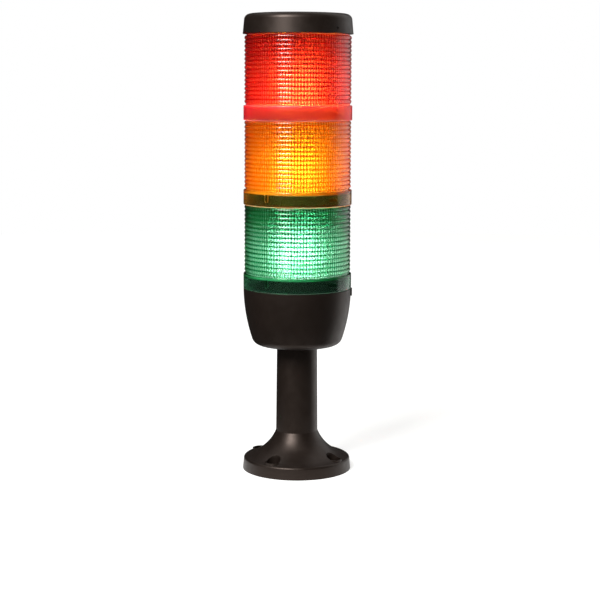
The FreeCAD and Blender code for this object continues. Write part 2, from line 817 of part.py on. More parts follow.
def make_terminal_block(doc):
    body = new_body(doc, "terminal_block")
    base = plate_base - size("terminal_height")
    block = level_sketch(body, "block_outline", base)
    rectangle(block, size("terminal_count") * size("terminal_pitch"), size("terminal_depth"))
    extrude(body, "block", block, size("terminal_height"))
    way = size("wire_way")
    way_height = plate_base - size("wire_way_roof") - way / 2
    mouth = new_sketch(body, "wire_mouth", "XZ_Plane")
    inside = size("terminal_depth") / 2 - size("wire_way_depth")
    place_sketch(mouth, Vector(0, 1, 0), ZERO, (terminal_start(), way_height, inside))
    rectangle(mouth, way, way)
    entry = extrude(body, "wire_entry", mouth, size("wire_way_depth"), cut=True)
    well = level_sketch(body, "screw_well_circle", base, shift=(terminal_start(), ZERO))
    circle(well, size("terminal_screw_radius") + size("terminal_screw_room"))
    hole = extrude(body, "screw_well", well, size("terminal_screw_length"), cut=True)
    row_along(body, "terminals", [entry, hole], size("terminal_count"), size("terminal_pitch"))


def make_terminal_screws(doc):
    body = new_body(doc, "terminal_screws")
    base = plate_base - size("terminal_height")
    shift = (terminal_start(), ZERO)
    disc = level_sketch(body, "screw_circle", base, shift=shift)
    circle(disc, size("terminal_screw_radius"))
    rod = extrude(body, "screw", disc, size("terminal_screw_length"))
    mouth = level_sketch(body, "slot_outline", base, shift=shift)
    rectangle(mouth, size("terminal_screw_radius") * 3, size("screw_slot_width"))
    slot = extrude(body, "screw_slot", mouth, size("screw_slot_depth"), cut=True)
    row_along(body, "screw_row", [rod, slot], size("terminal_count"), size("terminal_pitch"))


# ------------------------------------------------------------------ lens modules


def make_lens(doc, colour, tier):
    body = new_body(doc, f"{colour}_lens")
    edge = size("edge_round")
    outer = size("collar_radius")
    height = size("collar_height")
    ribs = []
    for rib in range(int(VALUES["rib_count"])):
        ribs.append((rib_valley, ribs_base + size("rib_pitch") * rib, "left", rib_round))
    wall = radial_outline(
        body,
        "lens_profile",
        as_size(RIGHT_ANGLE),
        [
            (collar_bore, ZERO),
            (outer - edge, ZERO, "left", edge),
            (outer, edge),
            (outer, height - edge, "left", edge),
            (outer - edge, height),
            (rib_valley, height),
            *ribs,
            (rib_valley, ribs_top),
            (neck_radius, ribs_top),
            (neck_radius, module_pitch + neck_rise),
            (neck_bore, module_pitch + neck_rise),
            (neck_bore, ribs_top),
            (lens_bore, ribs_top - size("bore_slope")),
            (lens_bore, web_base),
            (collar_bore, web_base),
        ],
    )
    revolve(body, "lens_wall", wall)
    add_flutes(body)
    add_collar_keys(body)
    cut_neck(body, module_pitch)
    raise_to(body, rim_level(tier))


def add_flutes(body):
    """Upright beads side by side round the bore, which spread the light sideways."""
    first = as_size(FULL_TURN / 2) / size("flute_count")
    root = lens_bore + size("flute_depth")
    bead = level_sketch(body, "bead_outline", flutes_base, first)
    outline(
        bead,
        [
            (lens_bore, half_flute, "left", flute_round),
            (lens_bore, -half_flute),
            (root, -half_flute),
            (root, half_flute),
        ],
    )
    column = extrude(body, "bead", bead, flutes_top - flutes_base)
    round_about(body, "beads", [column], size("flute_count"))


def make_carrier(doc, colour, tier):
    """The plate that closes a module's underside, with its hub and the board's socket."""
    body = new_body(doc, f"{colour}_carrier")
    rim = lens_bore - size("carrier_gap")
    plate = radial_outline(
        body,
        "carrier_profile",
        as_size(RIGHT_ANGLE),
        [
            (ZERO, size("hub_lift")),
            (size("hub_radius"), size("hub_lift")),
            (size("hub_radius"), web_base),
            (rim, web_base),
            (rim, carrier_top),
            (ZERO, carrier_top),
        ],
    )
    revolve(body, "carrier_plate", plate)
    slot_width = size("board_width") + size("board_gap") * 2
    slot_depth = size("board_thickness") + size("board_gap") * 2
    frame = level_sketch(body, "socket_outline", carrier_top)
    rectangle(frame, slot_width + size("socket_wall") * 2, slot_depth + size("socket_wall") * 2)
    extrude(body, "socket", frame, size("socket_height"))
    slot = level_sketch(body, "slot_outline", carrier_top)
    rectangle(slot, slot_width, slot_depth)
    extrude(body, "board_slot", slot, size("socket_height"), cut=True)
    bore = level_sketch(body, "pin_bore_circle", size("hub_lift"), size("contact_bearing"))
    circle(bore, size("pin_radius") + size("pin_room"), size("contact_circle"))
    drilling = extrude(body, "pin_bore", bore, carrier_top - size("hub_lift"), cut=True)
    round_about(body, "pin_bores", [drilling], size("contact_count"))
    raise_to(body, rim_level(tier))


def make_board(doc, colour, tier):
    """The upright board, from its socket's floor into the slot of the contact head."""
    board = doc.addObject("Part::Box", f"{colour}_light_board")
    board.Label = f"{colour}_light_board"
    bind(board, "Length", size("board_width"))
    bind(board, "Width", size("board_thickness"))
    bind(board, "Height", head_base + size("head_slot") - carrier_top)
    raise_to(board, rim_level(tier) + carrier_top)
    bind(board, "Placement.Base.x", -(size("board_width") / 2))
    bind(board, "Placement.Base.y", -(size("board_thickness") / 2))


def make_light_sources(doc, colour, tier):
    """Square light sources in columns and rows on both sides of a board."""
    sources = []
    width = size("led_width")
    left = -((size("led_columns") - 1) * size("led_column_pitch") / 2) - width / 2
    low = socket_top + size("led_lift")
    sides = [-(size("board_thickness") / 2) - size("led_height"), size("board_thickness") / 2]
    for face, front in enumerate(sides):
        for column in range(int(VALUES["led_columns"])):
            for row in range(int(VALUES["led_rows"])):
                source = doc.addObject("Part::Box", f"{colour}_source_{face}_{column}_{row}")
                bind(source, "Length", width)
                bind(source, "Width", size("led_height"))
                bind(source, "Height", width)
                bind(source, "Placement.Base.x", left + size("led_column_pitch") * column)
                bind(source, "Placement.Base.y", front)
                bind(source, "Placement.Base.z", low + size("led_row_pitch") * row)
                sources.append(source)
    group = doc.addObject("Part::Compound", f"{colour}_light_sources")
    group.Label = f"{colour}_light_sources"
    group.Links = sources
    raise_to(group, rim_level(tier))


def make_contact_head(doc, colour, tier):
    body = new_body(doc, f"{colour}_contact_head")
    disc = level_sketch(body, "head_circle", head_base)
    circle(disc, size("head_radius"))
    extrude(body, "head", disc, size("head_thickness"))
    mouth = level_sketch(body, "head_slot_outline", head_base)
    gap = size("board_gap") * 2
    rectangle(mouth, size("board_width") + gap, size("board_thickness") + gap)
    extrude(body, "head_slot", mouth, size("head_slot"), cut=True)
    raise_to(body, rim_level(tier))


def make_contact_pads(doc, label, rim):
    """Arc-shaped pads, long enough for the pins above to stay on them through the twist."""
    body = new_body(doc, label)
    half = size("pad_width") / 2
    top = contact_plane
    pad = sector(
        body,
        "pad",
        size("contact_bearing") + size("twist") / 2,
        size("twist") + size("pad_end") * 2,
        ring_block(
            size("contact_circle") - half,
            size("contact_circle") + half,
            top - size("pad_thickness"),
            top,
        ),
    )
    round_about(body, "pads", [pad], size("contact_count"))
    raise_to(body, rim)


def make_contact_pins(doc, colour, tier):
    body = new_body(doc, f"{colour}_contact_pins")
    base = contact_plane + size("contact_gap")
    disc = level_sketch(body, "pin_circle", base, size("contact_bearing"))
    circle(disc, size("pin_radius"), size("contact_circle"))
    pin = extrude(body, "pin", disc, carrier_top + size("pin_tail") - base)
    round_about(body, "pins", [pin], size("contact_count"))
    raise_to(body, rim_level(tier))


# ------------------------------------------------------------------ cap


def make_cap(doc):
    body = new_body(doc, "top_cap")
    shoulder = cap_radius - size("cap_draft")
    height = size("cap_height")
    edge = shoulder - size("cap_round")
    crown = size("cap_crown")
    dome = (edge * edge + crown * crown) / (crown * 2)
    shell = radial_outline(
        body,
        "cap_profile",
        as_size(RIGHT_ANGLE),
        [
            (collar_bore, size("cap_lift")),
            (cap_radius, size("cap_lift")),
            (shoulder, height - size("cap_round"), "left", size("cap_round")),
            (edge, height, "left", dome),
            (ZERO, height + crown),
            (ZERO, height - size("cap_top")),
            (lens_bore, height - size("cap_top")),
            (lens_bore, web_base),
            (collar_bore, web_base),
        ],
    )
    revolve(body, "cap_shell", shell)
    add_collar_keys(body)
    floor = cap_radius - size("dimple_depth")
    mark = tangent_sketch(body, "dimple_circle", size("dimple_bearing"), floor)
    mark_height = size("dimple_height")
    mark.addGeometry(
        Part.Circle(Vector(0, mark_height.value, 0), Vector(0, 0, 1), size("dimple_radius").value),
        False,
    )
    pin_point(mark, 0, CENTRE, ZERO, mark_height)
    drive(mark, "Radius", 0, size("dimple_radius"))
    extrude(body, "dimple", mark, size("dimple_depth"), cut=True)
    raise_to(body, rim_level(len(TIERS)))


# ------------------------------------------------------------------ build, check, write


def build(doc):
    make_sheet(doc)
    make_foot(doc)
    make_housing(doc)
    make_pole_nut(doc)
    make_contact_plate(doc)
    make_post_screws(doc)
    make_terminal_block(doc)
    make_terminal_screws(doc)
    make_contact_pads(doc, "base_contact_pads", first_rim)
    make_seal(doc, "base_seal", first_rim)
    for tier, colour in enumerate(TIERS):
        make_lens(doc, colour, tier)
        make_carrier(doc, colour, tier)
        make_board(doc, colour, tier)
        make_light_sources(doc, colour, tier)
        make_contact_head(doc, colour, tier)
        make_contact_pads(doc, f"{colour}_contact_pads", rim_level(tier + 1))
        make_contact_pins(doc, colour, tier)
        make_seal(doc, f"{colour}_seal", rim_level(tier + 1))
    make_cap(doc)


def parts_of(doc):
    """The sub-parts: every body and primitive that no other object is made from."""
    kinds = ("PartDesign::Body", "Part::Box", "Part::Torus", "Part::Cut", "Part::Compound")
    found = []
    for item in doc.Objects:
        used = [user for user in item.InList if user.TypeId.startswith("Part::")]
        if item.TypeId in kinds and not used:
            found.append(item)
    return found


def check(doc):
    """Stop on a failed object, a cut that removes nothing or a pad that adds nothing."""
    for item in doc.Objects:
        if "Invalid" in item.State or "Error" in item.State:
            raise RuntimeError(f"{item.Name} failed: {item.State}")
        base = getattr(item, "BaseFeature", None)
        if base is None or not item.TypeId.startswith("PartDesign::"):
            continue
        change = item.Shape.Volume - base.Shape.Volume
        cuts = item.TypeId in ("PartDesign::Pocket", "PartDesign::Groove")
        adds = item.TypeId in ("PartDesign::Pad", "PartDesign::Revolution")
        if (cuts and change >= 0) or (adds and change <= 0):
            raise RuntimeError(f"{item.Name} changes the volume by {change:.3f}")
    for part in parts_of(doc):
        if part.Shape.isNull() or not part.Shape.isValid():
            raise RuntimeError(f"{part.Label} has no valid shape")


def main():
    doc = FreeCAD.newDocument("stack_light")
    build(doc)
    doc.recompute()
    check(doc)
    os.makedirs("parts", exist_ok=True)
    for part in parts_of(doc):
        part.Shape.exportStep(os.path.join("parts", f"{part.Label}.step"))
        print(f"{part.Label}: {len(part.Shape.Solids)} solids, {part.Shape.Volume:.1f} mm3")


main()
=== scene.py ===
"""Looks of a stack light: foot and pole, terminal housing, three lit lens modules and a cap.

Lengths in the classes are millimetres and turn into metres when a mesh is built, apart from the
studio's, which are metres. A bearing is an angle about the upright axis, in degrees, measured
from the front towards the right.
"""

import logging
import math
from dataclasses import dataclass
from enum import Enum
from typing import Optional, Sequence, Union

import bmesh
import bpy
from mathutils import Matrix, Vector


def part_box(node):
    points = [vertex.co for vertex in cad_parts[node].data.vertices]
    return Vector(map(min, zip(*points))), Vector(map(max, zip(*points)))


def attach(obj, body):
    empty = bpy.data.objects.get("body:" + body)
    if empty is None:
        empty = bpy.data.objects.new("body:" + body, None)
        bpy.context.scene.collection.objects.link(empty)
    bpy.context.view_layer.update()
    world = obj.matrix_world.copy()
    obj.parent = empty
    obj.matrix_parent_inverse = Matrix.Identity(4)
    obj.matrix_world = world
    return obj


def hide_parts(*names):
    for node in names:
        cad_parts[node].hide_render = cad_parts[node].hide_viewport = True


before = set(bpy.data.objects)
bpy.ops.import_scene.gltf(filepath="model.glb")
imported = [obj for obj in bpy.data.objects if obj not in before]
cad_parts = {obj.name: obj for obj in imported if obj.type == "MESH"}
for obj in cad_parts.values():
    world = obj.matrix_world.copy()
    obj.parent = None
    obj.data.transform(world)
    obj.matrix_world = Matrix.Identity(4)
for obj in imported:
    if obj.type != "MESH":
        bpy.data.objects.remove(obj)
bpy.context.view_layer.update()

LOG = logging.getLogger("stack_light")
MM = 0.001
FULL_TURN = 360.0
HALF_TURN = 180.0
WHITE = (1.0, 1.0, 1.0)
NOISE_SPAN = (0.3, 0.7)  # where most values of a noise lie
# frost is real frosting; shade and furrow hold painted shade
MARKS = ("frost", "shade", "furrow_shade")  # values on the faces of a lens
WELD = 2e4  # points nearer than one part in this of a millimetre are one
CAD_CREASE = 32.0
FLUTE_RUN_OUT = 0.25

Colour = tuple[float, float, float]
Point = tuple[float, float]
Socket = bpy.types.NodeSocket
Tint = Union[Colour, Socket]
Sockets = dict[Union[str, int], object]
Material = bpy.types.Material
Piece = bpy.types.Object
Mesh = bmesh.types.BMesh
Corner = bmesh.types.BMVert
Change = tuple[Sequence[int], float, Sequence[float], float]


# ---- shader graphs


class ShaderGraph:
    """The node tree of a material or of the world, with short calls to fill it."""

    def __init__(self, owner: Union[Material, bpy.types.World]) -> None:
        """Empty the owner's node tree.

        Args:
            owner: the material or world whose nodes are made.
        """
        owner.use_nodes = True
        self.tree = owner.node_tree
        self.tree.nodes.clear()

    def add(
        self, kind: str, sockets: Optional[Sockets] = None, **settings: object
    ) -> bpy.types.Node:
        """Add a node, fill its sockets and join those that are given another node's output.

        Args:
            kind: the node's type without its ShaderNode prefix.
            sockets: values or outputs by the name or number of the input.
            **settings: the node's own options.

        Returns:
            The new node.
        """
        node = self.tree.nodes.new("ShaderNode" + kind)
        for name, value in settings.items():
            setattr(node, name, value)
        for key, value in (sockets or {}).items():
            if isinstance(value, Socket):
                self.tree.links.new(value, node.inputs[key])
            else:
                node.inputs[key].default_value = value
        return node

    def place(self) -> Socket:
        """Coordinates in metres that stay with the piece."""
        return self.add("TexCoord").outputs["Object"]

    def noise(self, grain: float, detail: float = 3.0, upright: float = 1.0) -> Socket:
        """Cloudy noise.

        Args:
            grain: size of a cloud in millimetres.
            detail: number of finer layers.
            upright: how many times finer the noise is along the upright axis.

        Returns:
            The noise from zero to one.
        """
        where = self.place()
        if upright != 1.0:
            where = self.add("Mapping", {"Vector": where, "Scale": (1.0, 1.0, upright)}).outputs[0]
        sockets = {"Vector": where, "Scale": 1.0 / (grain * MM), "Detail": detail}
        return self.add("TexNoise", sockets).outputs["Fac"]

    def ramp(self, value: Socket, start: float, end: float, low: float, high: float) -> Socket:
        """Carry the values from a start to an end over to a range between two others."""
        span = {"From Min": start, "From Max": end, "To Min": low, "To Max": high}
        return self.add("MapRange", {"Value": value, **span}).outputs[0]

    def spread(self, value: Socket, low: float, high: float) -> Socket:
        """Stretch the usual values of a noise over a range."""
        return self.ramp(value, *NOISE_SPAN, low, high)

    def combine(
        self, operation: str, first: Socket, second: Union[Socket, float], clamp: bool = False
    ) -> Socket:
        """One step of arithmetic with two values."""
        sockets = {0: first, 1: second}
        return self.add("Math", sockets, operation=operation, use_clamp=clamp).outputs[0]

    def blend(self, factor: Socket, first: Tint, second: Tint) -> Socket:
        """Mix two colours by a factor.

        Args:
            factor: zero for the first colour and one for the second.
            first: the colour at zero, as numbers or as an output.
            second: the colour at one.

        Returns:
            The mixed colour.
        """
        sockets: Sockets = {0: factor}
        for key, tint in ((6, first), (7, second)):
            sockets[key] = tint if isinstance(tint, Socket) else (*tint, 1.0)
        return self.add("Mix", sockets, data_type="RGBA").outputs[2]

    def relief(self, height: Socket, depth: float, edge: float = 0.0) -> Socket:
        """Bump from a height.

        Args:
            height: the height from zero to one.
            depth: how far a height of one reaches, in millimetres.
            edge: radius in millimetres that rounds sharp edges under the bump.

        Returns:
            The bent normal.
        """
        sockets: Sockets = {"Height": height, "Distance": depth * MM}
        if edge:
            sockets["Normal"] = self.add("Bevel", {"Radius": edge * MM}, samples=4).outputs[0]
        return self.add("Bump", sockets).outputs[0]

    def fall_off(self, middle: float, near: float, far: float, lowest: float) -> Socket:
        """A value that sinks with the distance from a place on the axis.

        Args:
            middle: height of the place in millimetres, in the piece's own coordinates.
            near: distance in millimetres up to which the value is one.
            far: distance at which it has sunk to its lowest.
            lowest: what is left there.

        Returns:
            The value.
        """
        start = {0: self.place(), 1: (0.0, 0.0, middle * MM)}
        offset = self.add("VectorMath", start, operation="SUBTRACT").outputs[0]
        away = self.add("VectorMath", {0: offset}, operation="LENGTH").outputs["Value"]
        return self.ramp(away, near * MM, far * MM, 1.0, lowest)

    def seen_directly(self) -> Socket:
        """One for rays that show the background, also through or in the object.

        Returns:
            The share of the background's own light that such a ray sees.
        """
        rays = self.add("LightPath").outputs
        some = self.combine("ADD", rays["Is Camera Ray"], rays["Is Glossy Ray"])
        return self.combine("ADD", some, rays["Is Transmission Ray"], clamp=True)

    def finish(self, surface: Socket, kind: str = "Material", **more: Socket) -> None:
        """Join the finished shader, and what else the output takes, to the output."""
        self.add("Output" + kind, {"Surface": surface, **more})


def new_material(name: str) -> tuple[Material, ShaderGraph]:
    """An empty material and its graph."""
    made = bpy.data.materials.new(name)
    return made, ShaderGraph(made)


# ---- finishes


@dataclass(frozen=True)
class Moulding:
    """Moulded plastic with a fine spark-eroded grain and faint flow marks.

    Attributes:
        name: name of the material.
        colour: colour of the plastic.
        roughness: middle roughness.
        gloss: strength of the mirror part.
        grain: size of the grain in millimetres.
        depth: depth of the grain in millimetres.
        edge: radius of the rounded edges in millimetres.
        drift: how far the colour strays, as a share of itself.
        sheen: tint of the mirror part.
    """

    name: str
    colour: Colour
    roughness: float = 0.45
    gloss: float = 0.4
    grain: float = 0.45
    depth: float = 0.012
    edge: float = 0.25
    drift: float = 0.12
    sheen: Colour = WHITE

    def material(self) -> Material:
        """Build the material.

        Returns:
            The new material.
        """
        made, graph = new_material(self.name)
        cloud = graph.spread(graph.noise(14.0, 4.0), 0.0, 1.0)
        dark = tuple(part * (1.0 - self.drift) for part in self.colour)
        pale = tuple(part * (1.0 + self.drift) for part in self.colour)
        grain = graph.noise(self.grain, 2.0)
        wear = graph.spread(graph.noise(5.0, 5.0), self.roughness - 0.05, self.roughness + 0.06)
        sockets = {
            "Base Color": graph.blend(cloud, dark, pale),
            "Roughness": wear,
            "Specular IOR Level": self.gloss,
            "Specular Tint": (*self.sheen, 1.0),
            "Normal": graph.relief(grain, self.depth, self.edge),
        }
        graph.finish(graph.add("BsdfPrincipled", sockets).outputs[0])
        return made


@dataclass(frozen=True)
class ClearPlastic:
    """Tinted see-through lens plastic, darker the further light travels in it.

    Values on the mesh's faces say how frosted a face is, and how much painted shade darkens it:
    on its skin outside the ribbed band, and in a groove between two ribs or two beads, where the
    light is bent away, more toward the lens's top and on a lug.

    Attributes:
        name: name of the material.
        wall: what a wall of the lens lets through.
        painted_collar_shade: colour of the painted shade on the skin outside the ribbed band.
        furrow_shade: colour of the painted shade in the grooves, toward the top and on the lugs.
        roughness: roughness of the moulded surface.
        frosted: roughness of a frosted surface.
        thickness: thickness of a wall in millimetres.
        index: refractive index.
        headroom: how far the volume's density lies over the strongest loss.
        gloss: strength of the mirror part.
        milk: share of the light that a frosted face scatters on.
        cast: share of the light that a face lets through into a shadow.
    """

    name: str
    wall: Colour
    painted_collar_shade: Colour
    furrow_shade: Colour
    roughness: float = 0.17
    frosted: float = 0.26
    thickness: float = 2.9
    index: float = 1.49
    headroom: float = 1.02
    gloss: float = 0.14
    milk: float = 0.95
    cast: float = 0.96

    def material(self) -> Material:
        """Build the material.

        Returns:
            The new material.
        """
        made, graph = new_material(self.name)
        frost, shade, furrow_shade = (
            graph.add("Attribute", attribute_name=mark).outputs["Fac"] for mark in MARKS
        )
        flow = graph.noise(6.0, upright=0.25)
        haze = graph.spread(graph.noise(2.2, 4.0), self.roughness * 0.8, self.roughness * 1.2)
        rough = graph.add("Mix", {0: frost, 2: haze, 3: self.frosted}, data_type="FLOAT")
        # painted shade: the skin outside the ribbed band darkens toward its painted shade colour
        skin = graph.blend(shade, WHITE, self.painted_collar_shade)
        sockets = {
            # painted shade: grooves, the lens's top and the lugs darken toward the painted shade
            # colour
            "Base Color": graph.blend(furrow_shade, skin, self.furrow_shade),
            "Roughness": rough.outputs[0],
            "IOR": self.index,
            "Transmission Weight": 1.0,
            "Specular IOR Level": self.gloss,
            "Normal": graph.relief(flow, 0.004),
        }
        clear = graph.add("BsdfPrincipled", sockets).outputs[0]
        # the scattered light carries the same painted shade
        cloud = graph.blend(furrow_shade, (self.milk,) * 3, self.furrow_shade)
        scatter = graph.add("BsdfTranslucent", {"Color": cloud}).outputs[0]
        cloudy = graph.add("MixShader", {0: frost, 1: clear, 2: scatter}).outputs[0]
        through = graph.add("BsdfTransparent", {"Color": (*(self.cast,) * 3, 1.0)}).outputs[0]
        shadow = graph.add("LightPath").outputs["Is Shadow Ray"]
        mix = graph.add("MixShader", {0: shadow, 1: cloudy, 2: through})
        loss = [-math.log(part) / (self.thickness * MM) for part in self.wall]
        density = max(loss) * self.headroom
        colour = (*(1.0 - part / density for part in loss), 1.0)
        inside = graph.add("VolumeAbsorption", {"Color": colour, "Density": density})
        graph.finish(mix.outputs[0], Volume=inside.outputs[0])
        return made


@dataclass(frozen=True)
class Phosphor:
    """The glowing window of a light source.

    Attributes:
        name: name of the material.
        colour: colour of the light.
        strength: strength of the light in the middle of the board.
        middle: height of that middle in millimetres.
        reach: distance in millimetres at which the light has fallen to its lowest.
        lowest: share of the strength that is left there.
        near: distance in millimetres up to which the light is full.
    """

    name: str
    colour: Colour
    strength: float
    middle: float
    reach: float = 10.5
    lowest: float = 0.01
    near: float = 2.0

    def material(self) -> Material:
        """Build the material.

        Returns:
            The new material.
        """
        made, graph = new_material(self.name)
        mottle = graph.spread(graph.noise(0.35, 2.0), self.strength * 0.85, self.strength * 1.1)
        fall = graph.fall_off(self.middle, self.near, self.reach, self.lowest)
        sockets = {
            "Base Color": (0.9, 0.8, 0.35, 1.0),
            "Roughness": 0.3,
            "Emission Color": (*self.colour, 1.0),
            "Emission Strength": graph.combine("MULTIPLY", mottle, fall),
            "Normal": graph.relief(graph.noise(0.5), 0.02),
        }
        graph.finish(graph.add("BsdfPrincipled", sockets).outputs[0])
        return made


@dataclass(frozen=True)
class Metal:
    """Turned or stamped metal with fine tool marks.

    Attributes:
        name: name of the material.
        colour: colour of the metal.
        roughness: middle roughness.
    """

    name: str
    colour: Colour
    roughness: float

    def material(self) -> Material:
        """Build the material.

        Returns:
            The new material.
        """
        made, graph = new_material(self.name)
        marks = graph.noise(0.3, upright=8.0)
        tarnish = graph.spread(graph.noise(3.0, 4.0), 0.0, 1.0)
        dull = tuple(part * 0.72 for part in self.colour)
        sockets = {
            "Base Color": graph.blend(tarnish, self.colour, dull),
            "Metallic": 1.0,
            "Roughness": graph.spread(marks, self.roughness * 0.75, self.roughness * 1.3),
            "Normal": graph.relief(marks, 0.01, 0.12),
        }
        graph.finish(graph.add("BsdfPrincipled", sockets).outputs[0])
        return made


@dataclass(frozen=True)
class BoardLaminate:
    """White solder mask over copper tracks on a circuit board, glowing with painted light.

    Attributes:
        name: name of the material.
        light: colour of the painted glow, the light that its light sources would throw on it.
        glow: strength of the painted glow in the middle.
        middle: height of that middle in millimetres, in the board's own coordinates.
        mask: colour of the mask.
        copper: colour of the mask where a track lies under it.
        reach: distance in millimetres at which the painted glow ends.
        steepness: power with which it falls off.
    """

    name: str
    light: Colour
    glow: float
    middle: float
    mask: Colour = (0.46, 0.48, 0.45)
    copper: Colour = (0.36, 0.4, 0.35)
    reach: float = 17.0
    steepness: float = 1.6

    def material(self) -> Material:
        """Build the material.

        Returns:
            The new material.
        """
        made, graph = new_material(self.name)
        bricks = {"Vector": graph.place(), "Scale": 190.0, "Mortar Size": 0.035}
        tracks = graph.add("TexBrick", bricks).outputs["Fac"]
        # painted light: emission on a board that is no lamp, strongest in the middle of the
        # sources
        fall = graph.fall_off(self.middle, 0.0, self.reach, 0.0)
        painted_glow = graph.combine("POWER", fall, self.steepness)
        sockets = {
            "Base Color": graph.blend(tracks, self.mask, self.copper),
            "Roughness": graph.spread(graph.noise(1.5), 0.3, 0.42),
            "Emission Color": (*self.light, 1.0),
            "Emission Strength": graph.combine("MULTIPLY", painted_glow, self.glow),
            "Normal": graph.relief(tracks, 0.03, 0.1),
        }
        graph.finish(graph.add("BsdfPrincipled", sockets).outputs[0])
        return made


class Tier(Enum):
    """The three lit modules, from the lowest up."""

    GREEN = "green"
    AMBER = "amber"
    RED = "red"


@dataclass(frozen=True)
class TierFinish:
    """What makes one module's colour.

    Attributes:
        lens: colour that one wall of the lens lets through.
        light: colour of its light sources.
        strength: strength of its light sources.
        glow: strength of the board's painted glow in the middle, for the light that it would
            catch.
        rise: how far the brightest place lies above the middle of the sources, in millimetres.
        furrow_shade: colour of the painted shade in the grooves between the ribs and beads.
        dusk: how much painted shade darkens the lens toward its top, away from the light sources.
        edge_frost: share of the light that the collar's lower edge and key outline scatter.
        collar: colour of the painted shade on the collar's skin and neck, white for none.
        collar_frost: share of the light that the collar scatters.
    """

    lens: Colour
    light: Colour
    strength: float
    glow: float
    rise: float
    furrow_shade: Colour
    dusk: float
    edge_frost: float
    collar: Colour = (0.5, 0.5, 0.5)
    collar_frost: float = 0.0


TIER_FINISHES = {
    Tier.GREEN: TierFinish(
        lens=(0.22, 0.62, 0.39),
        light=(1.0, 0.8, 0.9),
        strength=2400.0,
        glow=26.0,
        rise=3.5,
        furrow_shade=(0.002, 0.13, 0.035),
        dusk=1.4,
        edge_frost=0.3,
    ),
    Tier.AMBER: TierFinish(
        lens=(0.97, 0.6, 0.1),
        light=(1.0, 0.85, 0.2),
        strength=520.0,
        glow=10.0,
        rise=2.0,
        furrow_shade=(0.6, 0.17, 0.01),
        dusk=0.4,
        edge_frost=1.0,
    ),
    Tier.RED: TierFinish(
        lens=(0.95, 0.14, 0.2),
        light=(1.0, 1.0, 0.12),
        strength=680.0,
        glow=18.0,
        rise=-1.5,
        furrow_shade=(0.4, 0.008, 0.03),
        dusk=0.6,
        edge_frost=0.6,
        collar=(1.0, 1.0, 1.0),
        collar_frost=0.4,
    ),
}


class Workshop:
    """The finishes that several pieces share, each made once."""

    def __init__(self) -> None:
        """Make the shared materials."""
        self.black = Moulding(
            "black_plastic", (0.0072, 0.0046, 0.0034), 0.42, 0.4, sheen=(1.0, 0.8, 0.7)
        ).material()
        self.white = Moulding(
            "white_plastic", (0.6, 0.6, 0.57), 0.4, 0.5, grain=0.6, drift=0.03
        ).material()
        self.grey = Moulding("grey_plastic", (0.32, 0.33, 0.33), 0.42, 0.5, drift=0.06).material()
        self.rubber = Moulding(
            "seal_rubber", (0.02, 0.02, 0.02), 0.7, 0.3, grain=0.25, depth=0.02
        ).material()
        self.steel = Metal("steel", (0.6, 0.6, 0.59), 0.3).material()
        self.brass = Metal("contact_brass", (0.8, 0.58, 0.26), 0.25).material()

    def dress(self, finish: Material, *nodes: str) -> None:
        """Give CAD nodes a material and shade their curved faces smoothly.

        Args:
            finish: the material.
            *nodes: names of the nodes.
        """
        for node in nodes:
            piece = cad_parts[node]
            piece.data.materials.clear()
            piece.data.materials.append(finish)
            smooth(piece.data, CAD_CREASE)
            LOG.info("%s dressed in %s", node, finish.name)


# ---- meshes


def smooth(mesh: bpy.types.Mesh, angle: float) -> None:
    """Shade a mesh smoothly, except over edges that turn by more degrees than an angle."""
    mesh.polygons.foreach_set("use_smooth", [True] * len(mesh.polygons))
    mesh.set_sharp_from_angle(angle=math.radians(angle))


def on_ring(radius: float, bearing: float, height: float) -> Vector:
    """The point at a radius, bearing and height, in metres."""
    turn = math.radians(bearing)
    return Vector((radius * math.sin(turn), -radius * math.cos(turn), height)) * MM


def polar(place: Vector) -> Point:
    """The bearing of a place and its distance from the axis."""
    return math.degrees(math.atan2(place.x, -place.y)), math.hypot(place.x, place.y)


def within(bearing: float, middle: float, span: Sequence[float]) -> bool:
    """Whether a bearing lies in a span counted from a middle bearing."""
    offset = (bearing - middle + HALF_TURN) % FULL_TURN - HALF_TURN
    return span[0] < offset < span[1]


def new_piece(name: str, mesh: Mesh, lift: float = 0.0) -> Piece:
    """Turn a mesh into an object of the scene.

    Args:
        name: name of the piece.
        mesh: the mesh, which is used up.
        lift: height of the mesh's zero in millimetres.

    Returns:
        The new object.
    """
    data = bpy.data.meshes.new(name)
    mesh.to_mesh(data)
    mesh.free()
    piece = bpy.data.objects.new(name, data)
    piece.location.z = lift * MM
    bpy.context.scene.collection.objects.link(piece)
    return piece


